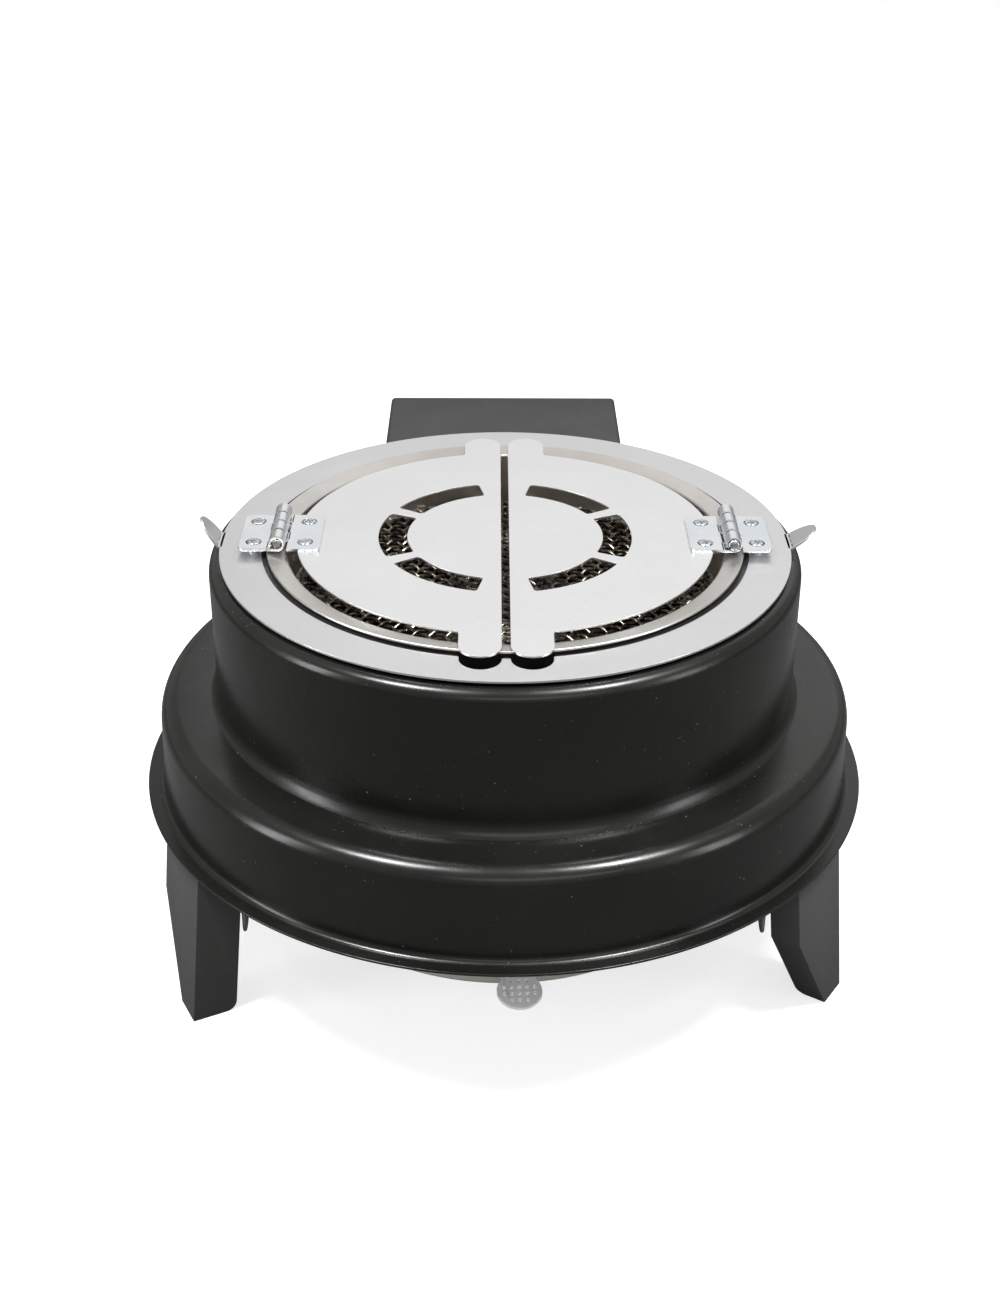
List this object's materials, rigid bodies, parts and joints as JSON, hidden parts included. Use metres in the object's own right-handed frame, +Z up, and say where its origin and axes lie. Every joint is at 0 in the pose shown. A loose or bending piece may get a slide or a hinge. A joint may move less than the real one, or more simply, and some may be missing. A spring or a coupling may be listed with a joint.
{
  "type": "gas charcoal burner stand",
  "caption": "Round black gas burner for lighting charcoal: stepped sheet housing on legs, lift-off stainless ring with mesh basket and hinged half lids, gas box behind, pull-out ash tray.",
  "frame": {"origin": "middle of the overall footprint at floor level, under the feet", "axes": "+Z up; +Y points to the back, where the gas box is; +X to the right as seen from the front"},
  "size_m": [0.3288, 0.4054, 0.1999],
  "materials": {
    "black_shell": "satin black stove enamel",
    "black_leg": "matt black powder coat",
    "stainless_plate": "satin stainless steel",
    "stainless_dull": "brushed stainless steel",
    "mesh_wire": "heat-darkened woven wire",
    "zinc": "bright zinc plate",
    "screw_zinc": "bright zinc plate",
    "rivet_steel": "plain steel",
    "iron": "cast iron, as cast",
    "tube_steel": "drawn steel tube",
    "brass": "machined brass",
    "black_plastic": "moulded black plastic"
  },
  "bodies": {
    "housing": {"housing_shell": "black_shell", "base_ring": "black_leg", "leg_left": "black_leg", "leg_right": "black_leg", "leg_rear": "black_leg", "leg_rivets": "rivet_steel", "burner_head": "iron", "burner_cap": "iron", "burner_strap": "tube_steel", "burner_bolt": "rivet_steel", "mixing_tube": "tube_steel", "gas_jet": "brass", "gas_valve": "brass", "valve_nut": "screw_zinc", "inlet_elbow": "brass", "inlet_nut": "screw_zinc", "gas_box": "black_shell", "gas_box_cover": "black_shell", "box_rivets": "rivet_steel", "cover_rivets": "rivet_steel", "tray_hanger_left": "stainless_dull", "tray_hanger_right": "stainless_dull", "hanger_rivets": "rivet_steel"},
    "top_unit": {"ring_plate": "stainless_plate", "ring_collar": "stainless_dull", "basket_rim": "stainless_dull", "basket_mesh": "mesh_wire", "basket_cross_bars": "stainless_dull", "hinge_ring_leaf_left": "zinc", "hinge_ring_leaf_right": "zinc", "hinge_pin_left": "zinc", "hinge_pin_right": "zinc", "ring_leaf_screws": "screw_zinc"},
    "lid_left_body": {"lid_left": "stainless_plate", "hinge_lid_leaf_left": "zinc", "lid_leaf_screws_left": "screw_zinc"},
    "lid_right_body": {"lid_right": "stainless_plate", "hinge_lid_leaf_right": "zinc", "lid_leaf_screws_right": "screw_zinc"},
    "tray_body": {"ash_tray": "stainless_dull", "ash_tray_handle": "stainless_plate"},
    "knob_body": {"control_knob": "black_plastic", "valve_stem": "brass"}
  },
  "joints": [
    {"name": "top_unit_lift", "type": "slide", "parent": "housing", "child": "top_unit", "axis": [0, 0, 1], "range_m": [0, 0.08]},
    {"name": "left_lid_hinge", "type": "hinge", "parent": "top_unit", "child": "lid_left_body", "pos_m": [-0.0986, -0.0383, 0.1963], "axis": [0, -1, 0], "range_deg": [0, 165]},
    {"name": "right_lid_hinge", "type": "hinge", "parent": "top_unit", "child": "lid_right_body", "pos_m": [0.0986, -0.0383, 0.1963], "axis": [0, 1, 0], "range_deg": [0, 165]},
    {"name": "ash_tray_slide", "type": "slide", "parent": "housing", "child": "tray_body", "axis": [0, -1, 0], "range_m": [0, 0.22]},
    {"name": "knob_turn", "type": "hinge", "parent": "housing", "child": "knob_body", "pos_m": [0, 0.1817, 0.137], "axis": [0, -1, 0], "range_deg": [0, 90]}
  ]
}
